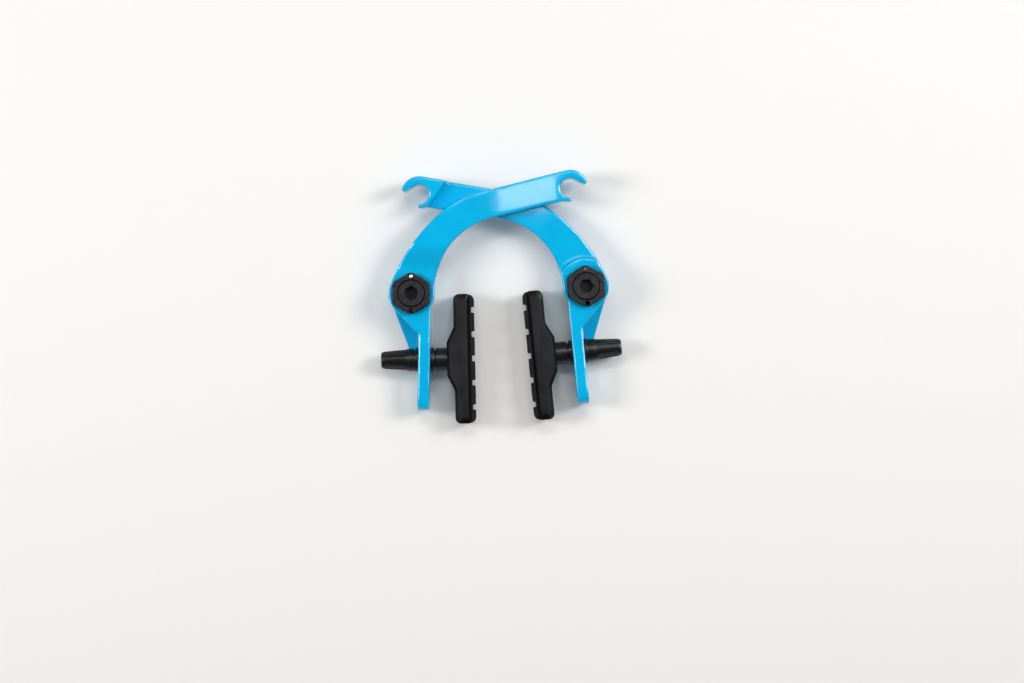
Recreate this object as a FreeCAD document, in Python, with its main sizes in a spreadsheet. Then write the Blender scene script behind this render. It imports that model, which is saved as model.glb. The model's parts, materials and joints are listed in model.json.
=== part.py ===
# A bicycle u brake calliper lying on its back: two crossed arms on their pivots, each with a brake pad.
# Millimetres. The origin is midway between the two pivots, on the surface that the calliper lies on.
# +X runs from the left pivot to the right one, +Y from the pads to the cable hooks, +Z to the front.
# Each arm is drawn about its own pivot with its leg straight down, then leans outward in its placement.
import FreeCAD, Part
import math
import os
import re

import Sketcher

doc = FreeCAD.newDocument("u_brake")
sizes = doc.addObject("Spreadsheet::Sheet", "Sizes")
worked = doc.addObject("Spreadsheet::Sheet", "Worked")
home = {}

SIZES = {
    "pivot_span": 80,  # from one pivot to the other
    "lean": 3.35,  # outward lean of each arm, in degrees
    "boss_r": 10.5,  # round boss at the pivot
    "boss_depth": 18,  # boss and leg, front to back
    "outer_bend_r": 82.3,  # outer edge of the arm, lower stretch
    "outer_bend_turn": 20,  # where that edge leaves the boss, in degrees
    "outer_blend_turn": 39,  # where the lower stretch hands over, in degrees
    "outer_top_r": 36.5,  # outer edge of the arm, upper stretch
    "top_rise": 15.3,  # slope of the bar's top edge, in degrees
    "inner_bend_r": 34.8,  # inner edge of the arm
    "inner_bend_turn": 2,  # where that edge leaves the boss, in degrees
    "under_rise": 14.2,  # slope of the bar's lower edge, in degrees
    "arm_thick": 7,  # bar of each arm, front to back
    "bar_gap": 0.4,  # air between the crossed bars
    "crossing_z": 15.6,  # back of the front bar
    "round_edge": 0.8,  # rounding of the arms' front edges
    "rise_blend_r": 9,  # rounding where the front arm rises
    "front_rise_start": 12,  # where the front arm starts to rise
    "front_rise_end": 22,  # where it has risen
    "back_rise_start": 11,  # where the back of the front arm starts to rise
    "back_rise_end": 20.5,  # where it has risen
    "rear_rise_start": 10,  # where the back of the rear arm starts to rise
    "rear_rise_end": 19,  # where it has risen
    "step_r": 13.2,  # round step in the rear arm's front
    "hook_reach": 42,  # top edge, from the bend to the hook
    "hook_bore_r": 4.5,  # seat for the cable's end
    "hook_wall": 3.8,  # wall round the seat
    "hook_open_turn": 64,  # where the upper prong leaves the seat, in degrees
    "hook_lip_turn": 84,  # where the lower lip ends, in degrees from level
    "hook_prong": 4.8,  # straight of the upper prong
    "hook_tip_turn": 27,  # outer end of the upper prong, in degrees
    "hook_lip": 1.7,  # lower lip's thickness
    "tip_round": 0.56,  # rounding of the lip's and the prong's ends, as a share of their thickness
    "hook_start": 30.6,  # top edge, from the bend to the thick end's foot
    "hook_slant": 42,  # slant of the thick end's foot, in degrees from upright
    "hook_depth": 12.6,  # hook, front to back
    "hook_front": 22.6,  # front of the front arm's hook
    "rear_hook_front": 20.6,  # front of the rear arm's hook
    "leg_outer": 3.6,  # outer face of the leg
    "leg_thick": 5.4,  # leg, outer to inner face
    "leg_length": 53.4,  # pivot to the leg's end
    "leg_end_r": 5,  # rounding of the leg's end
    "neck_turn": 44.5,  # slope between boss and leg, in degrees
    "web_turn": 22,  # slope of the thin web behind the leg, in degrees
    "web_thick": 3,  # web
    "slot_top": 28.6,  # centre of the slot's upper end, below the pivot
    "slot_end_wall": 5.5,  # leg below the slot
    "slot_wide": 6.8,  # slot
    "post_height": 9.2,  # slot and post axis above the back
    "bush_thick": 0.75,  # bearing bush
    "bush_long": 8.4,  # bearing bush
    "bush_sink": 0.2,  # bush inside the boss's back face
    "run_gap": 0.05,  # running clearance round the sleeve
    "sleeve_r": 5.5,  # spring adjuster's sleeve
    "stud_bore_r": 4.55,  # its bore for the frame's stud
    "hex_flats": 17,  # across the adjuster's flats
    "hex_trim_r": 9.3,  # its corners are turned off to this
    "hex_thick": 4.6,  # flange
    "hex_chamfer": 0.4,  # edge of the flange
    "shoulder": 1.2,  # seat under the bolt head
    "seat_sink": 0.4,  # recess in the boss for the flange
    "seat_r": 9.6,  # that recess
    "axial_gap": 0.1,  # clearance between flange and arm
    "tip_hole_r": 1.15,  # holes for the spring's end
    "tip_hole_at": 7.85,  # their distance from the pivot
    "left_hex_turn": -2.4,  # left flange, in degrees
    "right_hex_turn": 1.5,  # right flange, in degrees
    "left_bolt_turn": 24,  # left bolt, in degrees
    "right_bolt_turn": 1.5,  # right bolt, in degrees
    "head_r": 6.2,  # bolt head
    "head_thick": 3.7,  # bolt head
    "head_chamfer": 0.5,  # edge of the bolt head and of its tip
    "head_gap": 0.25,  # clearance round it
    "head_sink": 0.15,  # below the flange's face
    "socket_flats": 6,  # hexagon socket
    "socket_deep": 2.8,  # its depth
    "bolt_r": 3,  # bolt's thread
    "shank_r": 3.1,  # bolt under its head
    "shank_gap": 0.1,  # clearance round it
    "spring_wire": 1.6,  # spring wire
    "spring_r": 7.65,  # spring, to the middle of the wire
    "spring_turns": 3.5,  # turns, in whole halves
    "spring_bend_r": 1.6,  # bends at its ends
    "spring_pitch": 1.9,  # from turn to turn
    "spring_gap": 0.3,  # clearance round the spring
    "spring_tip_sink": 0.2,  # spring's end below the flange's face
    "spring_foot": 2.2,  # spring's other end, into the arm
    "left_post_drop": 30.1,  # left post below the pivot
    "right_post_drop": 29.2,  # right post below the pivot
    "left_pad_tilt": 2.2,  # left pad's foot turned inward, in degrees
    "right_pad_tilt": 0,  # right pad's foot turned inward, in degrees
    "post_r": 3,  # post's thread
    "post_gap": 0.3,  # clearance between post and washers
    "cup_r": 5.6,  # cup washers
    "cup_thick": 1.5,  # cup washers at the rim
    "dome_r": 5.2,  # dome washers
    "dome_ball_r": 12,  # their ball face
    "dome_gap": 0.3,  # between the ball and the cup
    "dome_nose_r": 4.4,  # ball faces end at this radius
    "inner_neck": 0.95,  # thick washer's rim past the cup's
    "outer_neck": 0.3,  # thin washer's rim past the cup's
    "washer_gap": 0.05,  # between cup washers and leg
    "outer_dome": 2.8,  # thin washer between leg and nut
    "flat_r": 5,  # flat washer
    "flat_thick": 1.2,  # flat washer
    "nut_long": 11.4,  # nut
    "post_in_nut": 6.2,  # post's thread inside the nut
    "nut_r": 4.6,  # nut at the washer
    "nut_end_r": 3.8,  # nut at its end
    "nut_round": 0.9,  # rounding of its end
    "nut_socket": 5,  # hexagon socket in the nut
    "nut_socket_deep": 4.5,  # its depth
    "thread_gap": 0.02,  # between post and nut
    "pad_long": 59.5,  # brake pad
    "pad_at": 10.4,  # back of the pad from the leg's middle
    "pad_wide": 13,  # brake pad, front to back
    "pad_back": 10.4,  # pad from its middle back to the friction face's foot
    "pad_face": 2.4,  # raised friction face
    "pad_ends": 3.4,  # ends are set back by this
    "pad_mid": 15.2,  # raised middle of the back
    "pad_slope": 7,  # slopes beside it
    "pad_blend_r": 4,  # rounding of the slopes
    "pad_chamfer": 1.3,  # edges of the back
    "face_wide": 10.4,  # friction face, front to back
    "groove_wide": 2.6,  # grooves across the friction face
    "groove_deep": 1.4,  # grooves
    "groove_pitch": 11.2,  # from groove to groove
    "groove_count": 5,  # grooves
    "plate_long": 44,  # steel plate inside the pad
    "plate_wide": 8.6,  # steel plate
    "plate_thick": 2,  # steel plate
    "plate_at": 6,  # steel plate behind the pad's middle back
}


def list_sizes():
    """Each size fills a row of the sheet: its name in words, and its value under that name."""
    for row, (name, value) in enumerate(SIZES.items(), 1):
        sizes.set(f"A{row}", name.replace("_", " "))
        sizes.set(f"B{row}", str(value))
        sizes.setAlias(f"B{row}", name)
        home[name] = sizes.Name
    doc.recompute()


def bound(formula):
    """A formula of plain names, with the sheet that holds each size written before it."""
    def full(found):
        name = found[0]
        return f"{home[name]}.{name}" if name in home else name

    return re.sub(r"[a-z_]+\b(?!\()", full, formula)


def derive(name, formula):
    """A value worked out from the sizes, kept in the second sheet under its own name."""
    row = sum(sheet == worked.Name for sheet in home.values()) + 2
    worked.set(f"A{row}", "=" + bound(formula))
    worked.setAlias(f"A{row}", name)
    home[name] = worked.Name
    worked.recompute()


def number(formula):
    """The present value of a formula."""
    worked.set("A1", "=" + bound(formula))
    worked.recompute()
    return float(worked.get("A1"))


def arc_centre(start, end, radius, turn):
    """Centre of the short arc from start to end that turns left (1) or right (-1)."""
    across = [(b - a) / 2 for a, b in zip(start, end)]
    half = math.hypot(*across)
    rise = turn * math.sqrt(max(radius**2 - half**2, 0)) / half
    return start[0] + across[0] - rise * across[1], start[1] + across[1] + rise * across[0]


def outline(body, name, plane, corners, lift=None, flip=1):
    """A closed sketch through the corners, each (x, y) or (x, y, radius, turn) for an arc that ends there.
    The arc turns left (1) or right (-1). With flip at -1 the outline is mirrored in x."""
    sketch = body.newObject("Sketcher::SketchObject", name)
    origin = next(f for f in body.Origin.OriginFeatures if f.Role == plane)
    sketch.AttachmentSupport = [(origin, "")]
    sketch.MapMode = "FlatFace"
    if lift:
        sketch.setExpression("AttachmentOffset.Base.z", bound(lift))
    corners = [(f"{flip}*({c[0]})",) + tuple(c[1:]) for c in corners]
    points = [(number(c[0]), number(c[1])) for c in corners]
    ends = []
    for i, corner in enumerate(corners):
        start, end = points[i - 1], points[i]
        if len(corner) == 2:
            line = Part.LineSegment(FreeCAD.Vector(*start), FreeCAD.Vector(*end))
            ends.append((sketch.addGeometry(line, False), 1, 2))
            continue
        radius, turn = number(corner[2]), corner[3] * flip
        x, y = arc_centre(start, end, radius, turn)
        first, last = (start, end) if turn > 0 else (end, start)
        angles = [math.atan2(p[1] - y, p[0] - x) for p in (first, last)]
        if angles[1] < angles[0]:
            angles[1] += 2 * math.pi
        circle = Part.Circle(FreeCAD.Vector(x, y), FreeCAD.Vector(0, 0, 1), radius)
        place = sketch.addGeometry(Part.ArcOfCircle(circle, *angles), False)
        ends.append((place, 1, 2) if turn > 0 else (place, 2, 1))
        fix(sketch, corner[2], "Radius", place)
    for i, corner in enumerate(corners):
        fix(sketch, corner[0], "DistanceX", -1, 1, ends[i][0], ends[i][2])
        fix(sketch, corner[1], "DistanceY", -1, 1, ends[i][0], ends[i][2])
        nxt = ends[(i + 1) % len(ends)]
        sketch.addConstraint(Sketcher.Constraint("Coincident", ends[i][0], ends[i][2], nxt[0], nxt[1]))
    return sketch


def fix(sketch, formula, kind, *where):
    """A sketch dimension whose value is the formula."""
    index = sketch.addConstraint(Sketcher.Constraint(kind, *where, number(formula)))
    sketch.setExpression(f"Constraints[{index}]", bound(formula))


def rings(body, name, plane, circles, lift=None):
    """A sketch of circles, each (x, y, radius)."""
    sketch = body.newObject("Sketcher::SketchObject", name)
    origin = next(f for f in body.Origin.OriginFeatures if f.Role == plane)
    sketch.AttachmentSupport = [(origin, "")]
    sketch.MapMode = "FlatFace"
    if lift:
        sketch.setExpression("AttachmentOffset.Base.z", bound(lift))
    for x, y, radius in circles:
        middle = FreeCAD.Vector(number(x), number(y))
        circle = Part.Circle(middle, FreeCAD.Vector(0, 0, 1), number(radius))
        place = sketch.addGeometry(circle, False)
        fix(sketch, radius, "Radius", place)
        fix(sketch, x, "DistanceX", -1, 1, place, 3)
        fix(sketch, y, "DistanceY", -1, 1, place, 3)
    return sketch


def pad(body, sketch, length):
    """Material from the sketch, along its normal."""
    feature = body.newObject("PartDesign::Pad", sketch.Name + "Pad")
    feature.Profile = sketch
    feature.setExpression("Length", bound(length))
    return feature


def pocket(body, sketch, length=None, up=False):
    """A cut from the sketch: to a depth, against its normal or along it, or right through both ways."""
    feature = body.newObject("PartDesign::Pocket", sketch.Name + "Pocket")
    feature.Profile = sketch
    feature.Reversed = up
    if length:
        feature.setExpression("Length", bound(length))
    else:
        feature.Type = "ThroughAll"
        feature.Midplane = True
    return feature


def dress(body, kind, size, wanted):
    """A fillet or chamfer on each edge of the body that wanted picks."""
    doc.recompute([body])
    base = body.Tip
    names = [f"Edge{i}" for i, edge in enumerate(base.Shape.Edges, 1) if wanted(edge)]
    feature = body.newObject("PartDesign::" + kind, f"{body.Name}{kind}{len(body.Group)}")
    feature.Base = (base, names)
    feature.setExpression("Radius" if kind == "Fillet" else "Size", bound(size))
    return feature


def new_body(name):
    body = doc.addObject("PartDesign::Body", name)
    body.Label = name
    return body


def place(piece, x, y, z, turn):
    """Puts a piece at x, y, z, turned about Z by an angle in degrees."""
    piece.Placement = FreeCAD.Placement(FreeCAD.Vector(), FreeCAD.Rotation(FreeCAD.Vector(0, 0, 1), 10))
    piece.setExpression("Placement.Base.x", bound(x))
    piece.setExpression("Placement.Base.y", bound(y))
    piece.setExpression("Placement.Base.z", bound(z))
    piece.setExpression("Placement.Rotation.Angle", bound(turn))


def derive_arm():
    """Corners of the arm's outline about its pivot, where arcs and straights meet without a kink."""
    derive("outer_x", "(outer_bend_r - boss_r) * cos(outer_bend_turn)")
    derive("outer_y", "-(outer_bend_r - boss_r) * sin(outer_bend_turn)")
    derive("blend_x", "outer_x - outer_bend_r * sin(outer_blend_turn)")
    derive("blend_y", "outer_y + outer_bend_r * cos(outer_blend_turn)")
    derive("upper_x", "blend_x + outer_top_r * sin(outer_blend_turn)")
    derive("upper_y", "blend_y - outer_top_r * cos(outer_blend_turn)")
    derive("top_x", "upper_x - outer_top_r * sin(top_rise)")
    derive("top_y", "upper_y + outer_top_r * cos(top_rise)")
    derive("inner_x", "(inner_bend_r + boss_r) * cos(inner_bend_turn)")
    derive("inner_y", "(inner_bend_r + boss_r) * sin(inner_bend_turn)")
    derive("under_x", "inner_x - inner_bend_r * sin(under_rise)")
    derive("under_y", "inner_y + inner_bend_r * cos(under_rise)")
    derive("hook_r", "hook_bore_r + hook_wall")
    derive("shoulder_x", "top_x + hook_reach * cos(top_rise)")
    derive("shoulder_y", "top_y + hook_reach * sin(top_rise)")
    derive("hook_x", "shoulder_x + hook_r * sin(top_rise)")
    derive("hook_y", "shoulder_y - hook_r * cos(top_rise)")
    derive("foot_top_x", "top_x + hook_start * cos(top_rise)")
    derive("foot_top_y", "top_y + hook_start * sin(top_rise)")
    derive("foot_run", "foot_top_y - under_y - (foot_top_x - under_x) * tan(under_rise)")
    derive("foot_drop", "foot_run / (1 + tan(under_rise) * tan(hook_slant))")
    derive("foot_low_x", "foot_top_x + foot_drop * tan(hook_slant)")
    derive("foot_low_y", "foot_top_y - foot_drop")
    derive("lip_x", "hook_x + hook_bore_r * cos(hook_lip_turn)")
    derive("lip_y", "hook_y - hook_bore_r * sin(hook_lip_turn)")
    derive("prong_x", "hook_x + hook_bore_r * cos(hook_open_turn)")
    derive("prong_y", "hook_y + hook_bore_r * sin(hook_open_turn)")
    derive("prong_end_x", "prong_x + hook_prong * sin(hook_open_turn)")
    derive("prong_end_y", "prong_y - hook_prong * cos(hook_open_turn)")
    derive("tip_x", "hook_x + hook_r * cos(hook_tip_turn)")
    derive("tip_y", "hook_y + hook_r * sin(hook_tip_turn)")
    derive("tip_r", "tip_round * sqrt((tip_x - prong_end_x)^2 + (tip_y - prong_end_y)^2)")
    derive("leg_inner", "leg_outer + leg_thick")
    derive("leg_middle", "leg_outer + leg_thick / 2")
    derive("neck_y", "-(boss_r + leg_outer * cos(neck_turn)) / sin(neck_turn)")
    derive("web_y", "-(boss_r + leg_outer * cos(web_turn)) / sin(web_turn)")
    derive("bush_r", "sleeve_r + run_gap + bush_thick")
    derive("slot_bottom", "leg_length - slot_end_wall - slot_wide / 2")
    derive("spring_room", "spring_r + spring_wire / 2 + spring_gap")
    derive("spring_top", "boss_depth - seat_sink - 2 * spring_gap")
    derive("spring_low", "spring_top - spring_turns * spring_pitch - spring_wire")
    derive("spring_floor", "spring_low - spring_gap")
    derive("spring_end_r", "sqrt(spring_r^2 + spring_bend_r^2)")
    derive("spring_end_turn", "atan(spring_bend_r / spring_r) / 1 deg")
    derive("rear_front", "crossing_z - bar_gap")
    derive("front_face", "crossing_z + arm_thick")


def bar(body, name, flip, height):
    """The arm's curve and bar, from the boss to the foot of the hook."""
    corners = [
        ("boss_r * cos(inner_bend_turn)", "boss_r * sin(inner_bend_turn)"),
        ("under_x", "under_y", "inner_bend_r", -1),
        ("foot_low_x", "foot_low_y"),
        ("foot_top_x", "foot_top_y"),
        ("top_x", "top_y"),
        ("blend_x", "blend_y", "outer_top_r", 1),
        ("-boss_r * cos(outer_bend_turn)", "boss_r * sin(outer_bend_turn)", "outer_bend_r", 1),
    ]
    pad(body, outline(body, name, "XY_Plane", corners, flip=flip), height)


def hook(body, name, flip, front):
    """The thick end with the open seat for the cable's end."""
    corners = [
        ("foot_top_x", "foot_top_y"),
        ("foot_low_x", "foot_low_y"),
        ("lip_x", "lip_y - hook_lip"),
        ("lip_x", "lip_y", "hook_lip * tip_round", 1),
        ("hook_x - hook_bore_r", "hook_y", "hook_bore_r", -1),
        ("prong_x", "prong_y", "hook_bore_r", -1),
        ("prong_end_x", "prong_end_y"),
        ("tip_x", "tip_y", "tip_r", 1),
        ("shoulder_x", "shoulder_y", "hook_r", 1),
    ]
    sketch = outline(body, name, "XY_Plane", corners, f"{front} - hook_depth", flip)
    pad(body, sketch, "hook_depth")


def leg(body, side, flip):
    """The leg below the boss, its thin web at the back, and the slot for the pad's post."""
    corners = [
        ("leg_inner", "0 * leg_inner"),
        ("leg_inner", "-leg_length"),
        ("leg_outer", "-leg_length"),
        ("leg_outer", "neck_y"),
        ("-boss_r * cos(neck_turn)", "-boss_r * sin(neck_turn)"),
        ("0 * boss_r", "0 * boss_r"),
    ]
    pad(body, outline(body, side + "Leg", "XY_Plane", corners, flip=flip), "boss_depth")
    corners = [
        ("leg_middle", "0 * leg_middle"),
        ("leg_middle", "web_y"),
        ("leg_outer", "web_y"),
        ("-boss_r * cos(web_turn)", "-boss_r * sin(web_turn)"),
        ("0 * boss_r", "0 * boss_r"),
    ]
    pad(body, outline(body, side + "Web", "XY_Plane", corners, flip=flip), "web_thick")
    corners = [
        ("-slot_bottom", "post_height + slot_wide / 2"),
        ("-slot_bottom - slot_wide / 2", "post_height", "slot_wide / 2", 1),
        ("-slot_bottom", "post_height - slot_wide / 2", "slot_wide / 2", 1),
        ("-slot_top", "post_height - slot_wide / 2"),
        ("-slot_top + slot_wide / 2", "post_height", "slot_wide / 2", 1),
        ("-slot_top", "post_height + slot_wide / 2", "slot_wide / 2", 1),
    ]
    pocket(body, outline(body, side + "Slot", "YZ_Plane", corners))


def boss_cuts(body, side, way, hex_turn):
    """Bore for the bush, room for the spring with a hole for its foot, and the flange's recess."""
    middle = ("0 * boss_r", "0 * boss_r")
    bore = rings(body, side + "Bore", "XY_Plane", [(*middle, "bush_r")])
    pocket(body, bore)
    room = rings(body, side + "Room", "XY_Plane", [(*middle, "spring_room")], "boss_depth")
    pocket(body, room, "boss_depth - spring_floor")
    seat = rings(body, side + "Seat", "XY_Plane", [(*middle, "seat_r")], "boss_depth")
    pocket(body, seat, "seat_sink")
    angle = f"({hex_turn} - 90 + {way} * (2 * spring_end_turn - lean))"
    spot = (f"spring_end_r * cos{angle}", f"spring_end_r * sin{angle}", "tip_hole_r")
    foot = rings(body, side + "Foot", "XY_Plane", [spot], "spring_floor")
    pocket(body, foot, "2 * spring_wire")


def front_arm(name):
    """The left arm. Its bar lies in front of the other one."""
    body = new_body(name)
    disc = rings(body, "LeftBoss", "XY_Plane", [("0 * boss_r", "0 * boss_r", "boss_r")])
    pad(body, disc, "boss_depth")
    bar(body, "LeftBar", 1, "front_face")
    above = [
        ("-2 * boss_r", "boss_depth"),
        ("front_rise_start", "boss_depth"),
        ("front_rise_end", "front_face"),
        ("front_rise_end", "front_face + arm_thick"),
        ("-2 * boss_r", "front_face + arm_thick"),
    ]
    pocket(body, outline(body, "LeftAbove", "YZ_Plane", above))
    behind = [
        ("back_rise_start", "0 * boss_r"),
        ("back_rise_start", "-arm_thick"),
        ("2 * pivot_span", "-arm_thick"),
        ("2 * pivot_span", "crossing_z"),
        ("back_rise_end", "crossing_z"),
    ]
    pocket(body, outline(body, "LeftBehind", "YZ_Plane", behind))
    hook(body, "LeftHook", 1, "hook_front")
    leg(body, "Left", 1)
    soften(body, ("front_rise_start", "boss_depth"), ("front_rise_end", "front_face"))
    boss_cuts(body, "Left", -1, "left_hex_turn")
    return body


def rear_arm(name):
    """The right arm. Its bar lies behind, and its hook stands forward again."""
    body = new_body(name)
    bar(body, "RightBar", -1, "boss_depth")
    middle = ("0 * boss_r", "0 * boss_r")
    circles = [(*middle, "step_r"), (*middle, "2 * pivot_span")]
    pocket(body, rings(body, "RightStep", "XY_Plane", circles, "rear_front"), "boss_depth", up=True)
    behind = [
        ("rear_rise_start", "0 * boss_r"),
        ("rear_rise_start", "-arm_thick"),
        ("2 * pivot_span", "-arm_thick"),
        ("2 * pivot_span", "rear_front - arm_thick"),
        ("rear_rise_end", "rear_front - arm_thick"),
    ]
    pocket(body, outline(body, "RightBehind", "YZ_Plane", behind))
    disc = rings(body, "RightBoss", "XY_Plane", [(*middle, "boss_r")])
    pad(body, disc, "boss_depth")
    hook(body, "RightHook", -1, "rear_hook_front")
    leg(body, "Right", -1)
    soften(body)
    boss_cuts(body, "Right", 1, "right_hex_turn")
    return body


def soften(body, *creases):
    """Rounds the leg's end, the creases where the front rises, and the arm's front edges."""
    foot = number("-leg_length")
    dress(body, "Fillet", "leg_end_r", lambda e: lies_on(e, foot, e.BoundBox.Center.z))
    for y, z in creases:
        spot = (number(y), number(z))
        dress(body, "Fillet", "rise_blend_r", lambda e: lies_on(e, *spot))
    front = number("rear_front") - 0.01
    dress(body, "Fillet", "round_edge", lambda e: rim(body, e) and e.BoundBox.ZMin > front)


def lies_on(edge, y, z):
    """Whether an edge lies along X at a given y and z."""
    return all(abs(edge.valueAt(p).y - y) + abs(edge.valueAt(p).z - z) < 1e-4 for p in samples(edge))


def rim(body, edge):
    """Whether an edge of the body lies between an upright face and one that looks forward."""
    middle = edge.valueAt(samples(edge)[2])
    looks = []
    for face in body.Tip.Shape.ancestorsOfType(edge, Part.Face):
        looks.append(face.normalAt(*face.Surface.parameter(middle)).z)
    return len(looks) == 2 and min(abs(look) for look in looks) < 0.01 and max(looks) > 0.5


def on_pivot(piece, side, turn):
    """Stands a piece on its pivot: side is -1 on the left and 1 on the right."""
    place(piece, f"{side} * pivot_span / 2", "0 * lean", "0 * lean", turn)


def bush(name):
    """Plain bearing pressed into the back of the boss."""
    body = new_body(name)
    middle = ("0 * boss_r", "0 * boss_r")
    circles = [(*middle, "bush_r"), (*middle, "sleeve_r + run_gap")]
    pad(body, rings(body, name + "_ring", "XY_Plane", circles, "bush_sink"), "bush_long")
    return body


def six_corners(radius, first=0):
    """Corners of a hexagon, the first one at an angle in degrees."""
    return [(f"{radius} * cos({first + 60 * i})", f"{radius} * sin({first + 60 * i})") for i in range(6)]


def adjuster(name):
    """Hexagon flange on a sleeve over the frame's stud, with two holes for the spring's end."""
    body = new_body(name)
    middle = ("0 * boss_r", "0 * boss_r")
    hexagon = outline(body, name + "_hex", "XY_Plane", six_corners("hex_corner", 30), "hex_low")
    pad(body, hexagon, "hex_thick")
    trim = [(*middle, "hex_trim_r"), (*middle, "hex_flats")]
    pocket(body, rings(body, name + "_trim", "XY_Plane", trim, "hex_top"), "hex_thick")
    pad(body, rings(body, name + "_sleeve", "XY_Plane", [(*middle, "sleeve_r")]), "hex_low")
    stud = rings(body, name + "_stud", "XY_Plane", [(*middle, "stud_bore_r")])
    pocket(body, stud, "stud_bore_top", up=True)
    pocket(body, rings(body, name + "_shank", "XY_Plane", [(*middle, "shank_r + shank_gap")]))
    top = FreeCAD.Vector(0, 0, number("hex_top"))
    rim = number("hex_flats / 2")
    dress(body, "Chamfer", "hex_chamfer", lambda e: on_level(e, top.z) and reach(e) > rim - 0.01)
    head = rings(body, name + "_head", "XY_Plane", [(*middle, "head_r + head_gap")], "hex_top")
    pocket(body, head, "hex_top - head_floor")
    tips = [("0 * boss_r", f"{way} * tip_hole_at", "tip_hole_r") for way in (1, -1)]
    pocket(body, rings(body, name + "_tips", "XY_Plane", tips, "hex_top"), "hex_thick")
    return body


def bolt(name):
    """Bolt that clamps the adjuster to the frame's stud."""
    body = new_body(name)
    profile = [
        ("0 * bolt_r", "0 * bolt_r"),
        ("bolt_r - head_chamfer", "0 * bolt_r"),
        ("bolt_r", "head_chamfer"),
        ("bolt_r", "stud_bore_top - head_chamfer"),
        ("shank_r", "stud_bore_top - head_chamfer"),
        ("shank_r", "head_floor"),
        ("head_r", "head_floor"),
        ("head_r", "head_top - head_chamfer"),
        ("head_r - head_chamfer", "head_top"),
        ("0 * bolt_r", "head_top"),
    ]
    turned(body, profile, "V_Axis")
    socket = outline(body, name + "_socket", "XY_Plane", six_corners("socket_corner"), "head_top")
    pocket(body, socket, "socket_deep")
    return body


def wire_ring(name, radius, sweep, spot, lean_over):
    """Part of a ring of spring wire, in degrees, with its middle at a spot and turned about three axes."""
    ring = doc.addObject("Part::Torus", name)
    ring.setExpression("Radius1", bound(radius))
    ring.setExpression("Radius2", bound("spring_wire / 2"))
    ring.Angle3 = sweep
    where = f"create(<<vector>>; {'; '.join(spot)})"
    turns = f"create(<<rotation>>; {'; '.join(lean_over)})"
    ring.setExpression("Placement", bound(f"create(<<placement>>; {where}; {turns})"))
    return ring


def wire_end(name, x, low, length):
    """Straight end of the spring's wire."""
    end = doc.addObject("Part::Cylinder", name)
    end.setExpression("Radius", bound("spring_wire / 2"))
    end.setExpression("Height", bound(length))
    end.setExpression("Placement.Base.x", bound(x))
    end.setExpression("Placement.Base.y", bound("spring_bend_r"))
    end.setExpression("Placement.Base.z", bound(low))
    return end


def spring(name, mirrored):
    """Return spring round the sleeve, wound the other way where mirrored. Its ends stand in flange and arm.
    The coil is half rings, each tilted so that it ends where the next one starts."""
    pieces = []
    tilt = "atan(spring_pitch / 4 / spring_r) / 1 deg"
    radius = "sqrt(spring_r^2 + spring_pitch^2 / 16)"
    for half in range(round(number("2 * spring_turns"))):
        spot = ("0", "0", f"spring_pitch / 4 + {half} * spring_pitch / 2")
        lean_over = (str(180 * half), tilt, "180")
        pieces.append(wire_ring(f"{name}_half_{half + 1}", radius, 180, spot, lean_over))
    foot = "spring_foot + spring_wire / 2"
    top = "spring_pitch * spring_turns"
    for end, spot, lean_over in (
        ("_foot_bend", ("spring_r", "0", "-spring_bend_r"), ("90", "0", "90")),
        ("_tip_bend", ("-spring_r", "0", top + " + spring_bend_r"), ("0", "90", "0")),
    ):
        pieces.append(wire_ring(name + end, "spring_bend_r", 90, spot, lean_over))
    pieces += [
        wire_end(name + "_foot", "spring_r", f"-({foot})", foot + " - spring_bend_r"),
        wire_end(name + "_tip", "-spring_r", top + " + spring_bend_r", "tip_top - spring_bend_r - " + top),
    ]
    whole = doc.addObject("Part::MultiFuse", name + "_whole" if mirrored else name)
    whole.Shapes = pieces
    if mirrored:
        turned_over = doc.addObject("Part::Mirroring", name)
        turned_over.Source = whole
        turned_over.Normal = FreeCAD.Vector(1, 0, 0)
        whole = turned_over
    whole.Label = name
    return whole


def turned(body, profile, axis):
    """A solid turned about the sketch's own axis from a profile in the XZ plane."""
    sketch = outline(body, body.Name + "_profile", "XZ_Plane", profile)
    feature = body.newObject("PartDesign::Revolution", body.Name + "_turn")
    feature.Profile = sketch
    feature.ReferenceAxis = (sketch, [axis])
    feature.Angle = 360
    return feature


def on_level(edge, level):
    """Whether an edge lies wholly at one height."""
    return all(abs(edge.valueAt(p).z - level) < 1e-4 for p in samples(edge))


def samples(edge):
    """Five parameters along an edge."""
    first, last = edge.ParameterRange
    return [first + (last - first) * i / 4 for i in range(5)]


def reach(edge):
    """The least distance of an edge's sample points from the Z axis."""
    return min(math.hypot(edge.valueAt(p).x, edge.valueAt(p).y) for p in samples(edge))


def cup(name, way):
    """Cup washer against the leg: way is 1 on the pad's side and -1 on the nut's side."""
    body = new_body(name)
    flat = "leg_thick / 2 + washer_gap"
    hole = "post_r + post_gap"
    profile = [
        (f"{way} * ({flat})", hole),
        (f"{way} * ({flat})", "cup_r"),
        (f"{way} * ({flat} + cup_thick)", "cup_r"),
        (f"{way} * (ball_at - sqrt(dome_ball_r^2 - ({hole})^2))", hole, "dome_ball_r", way),
    ]
    turned(body, profile, "H_Axis")
    return body


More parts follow.
